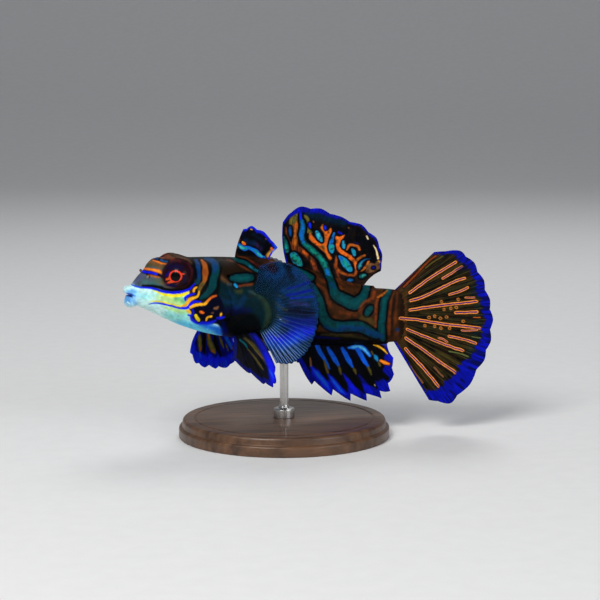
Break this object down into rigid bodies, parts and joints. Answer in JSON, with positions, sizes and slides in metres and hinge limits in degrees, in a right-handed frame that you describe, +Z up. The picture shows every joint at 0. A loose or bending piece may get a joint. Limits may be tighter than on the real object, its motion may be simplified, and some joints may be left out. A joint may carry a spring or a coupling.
{
  "type": "model fish",
  "caption": "Life-size mandarinfish museum model with fan-like fins, held level above a round turned base by a slim rod.",
  "frame": {"origin": "centre of the flat underside of the stand's base, on the rod's axis", "axes": "+Z is up; the fish faces -X with its tail towards +X; its left flank is towards -Y"},
  "size_m": [0.06, 0.034, 0.0371],
  "materials": {
    "skin": "painted skin, orange-brown with teal and blue bands, moist gloss",
    "eye": "polished, black pupil in a dark red ring",
    "fin": "thin, deep blue margin, satin",
    "tail_fin": "thin, orange rays, deep blue margin, satin",
    "clear_fin": "thin, translucent pale blue, satin",
    "stand": "turned and oiled, satin",
    "rod": "fine satin"
  },
  "bodies": {
    "root": {"head": "skin", "torso": "skin", "tail_stalk": "skin", "eye_left": "eye", "eye_right": "eye", "fin_dorsal_spiny": "fin", "fin_dorsal_soft": "fin", "fin_anal": "fin", "fin_tail": "tail_fin", "fin_pectoral_left": "clear_fin", "fin_pectoral_right": "clear_fin", "fin_pelvic_left": "fin", "fin_pelvic_right": "fin", "stand_base": "stand", "stand_rod": "rod"}
  },
  "joints": []
}
